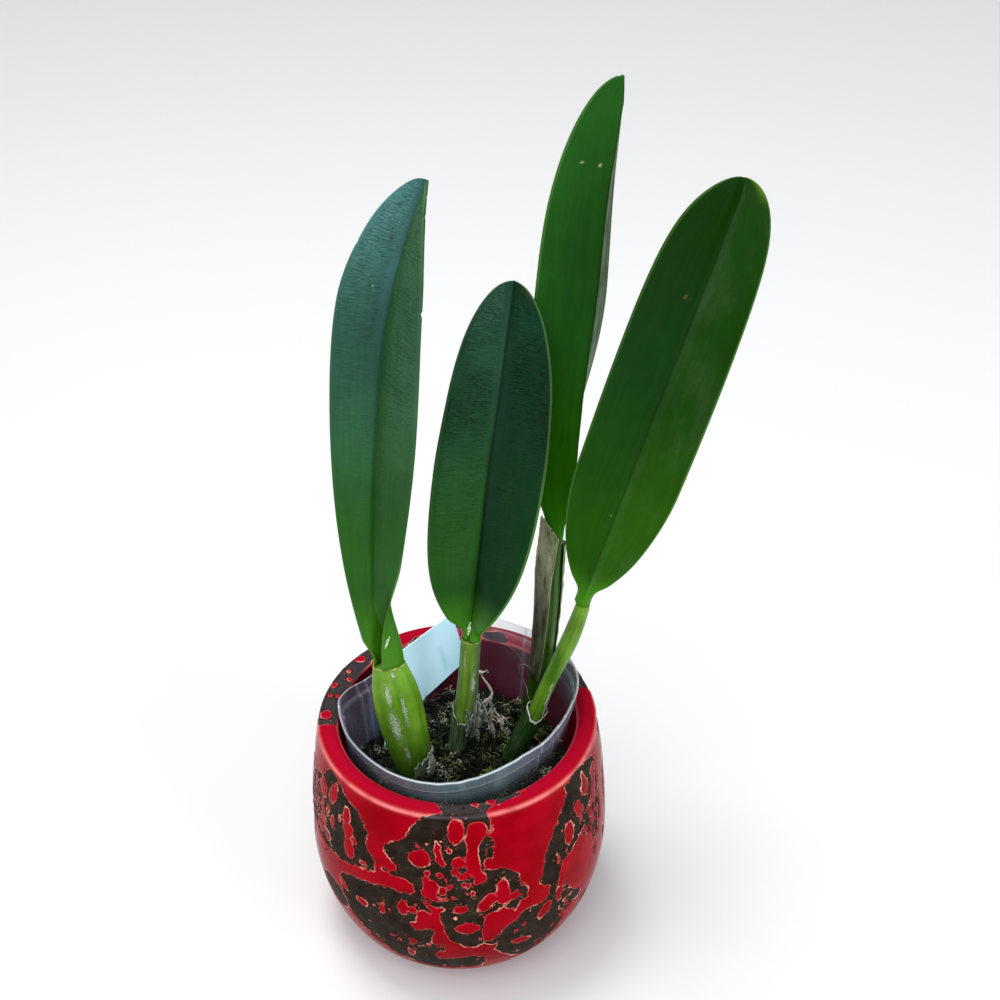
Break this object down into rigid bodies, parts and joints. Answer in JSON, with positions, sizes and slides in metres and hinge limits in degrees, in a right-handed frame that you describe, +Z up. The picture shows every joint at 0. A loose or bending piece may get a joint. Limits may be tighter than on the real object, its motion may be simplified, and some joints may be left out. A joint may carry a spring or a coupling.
{
  "type": "potted orchid plant (Rhyncholaelia digbyana)",
  "caption": "Potted orchid with tall leathery strap leaves on slim stems, in a clear grow pot inside a red lava-glazed ceramic pot.",
  "frame": {"origin": "centre of the ceramic pot's flat foot, on the surface that it stands on", "axes": "+Z up, along the plant's height; +X to the right and -Y towards the viewer of the picture's side"},
  "size_m": [0.1543, 0.1164, 0.3379],
  "materials": {
    "glazed_ceramic": "deep glossy red reactive glaze over matt brown-grey patches with thin cream edges",
    "clear_plastic": "clear thin plastic, slightly scuffed, whitish at the rim",
    "mossy_mix": "dark damp bark chips under short olive moss",
    "rhizome_skin": "woody brown-green skin with pale roots",
    "bulb_green": "waxy yellow-green skin with lengthwise furrows and flaky white streaks",
    "leaf_green": "thick leathery dark green leaf, finely wrinkled above and smooth below",
    "dry_sheath": "dry papery grey-brown sheath",
    "green_sheath": "green sheath with a torn white edge",
    "label_plastic": "bare pale blue-white plastic",
    "dried_root_skin": "dry pale beige-pink skin"
  },
  "bodies": {
    "root": {"ceramic_pot": "glazed_ceramic", "grow_pot": "clear_plastic", "planting_mix": "mossy_mix", "rhizome": "rhizome_skin", "pseudobulb_left": "bulb_green", "leaf_left": "leaf_green", "sheath_left": "dry_sheath", "pseudobulb_centre": "bulb_green", "leaf_centre": "leaf_green", "sheath_centre": "dry_sheath", "pseudobulb_right": "bulb_green", "leaf_right": "leaf_green", "sheath_right": "green_sheath", "pseudobulb_back": "bulb_green", "leaf_back": "leaf_green", "sheath_back": "dry_sheath", "plant_label": "label_plastic", "dried_root": "dried_root_skin"}
  },
  "joints": []
}
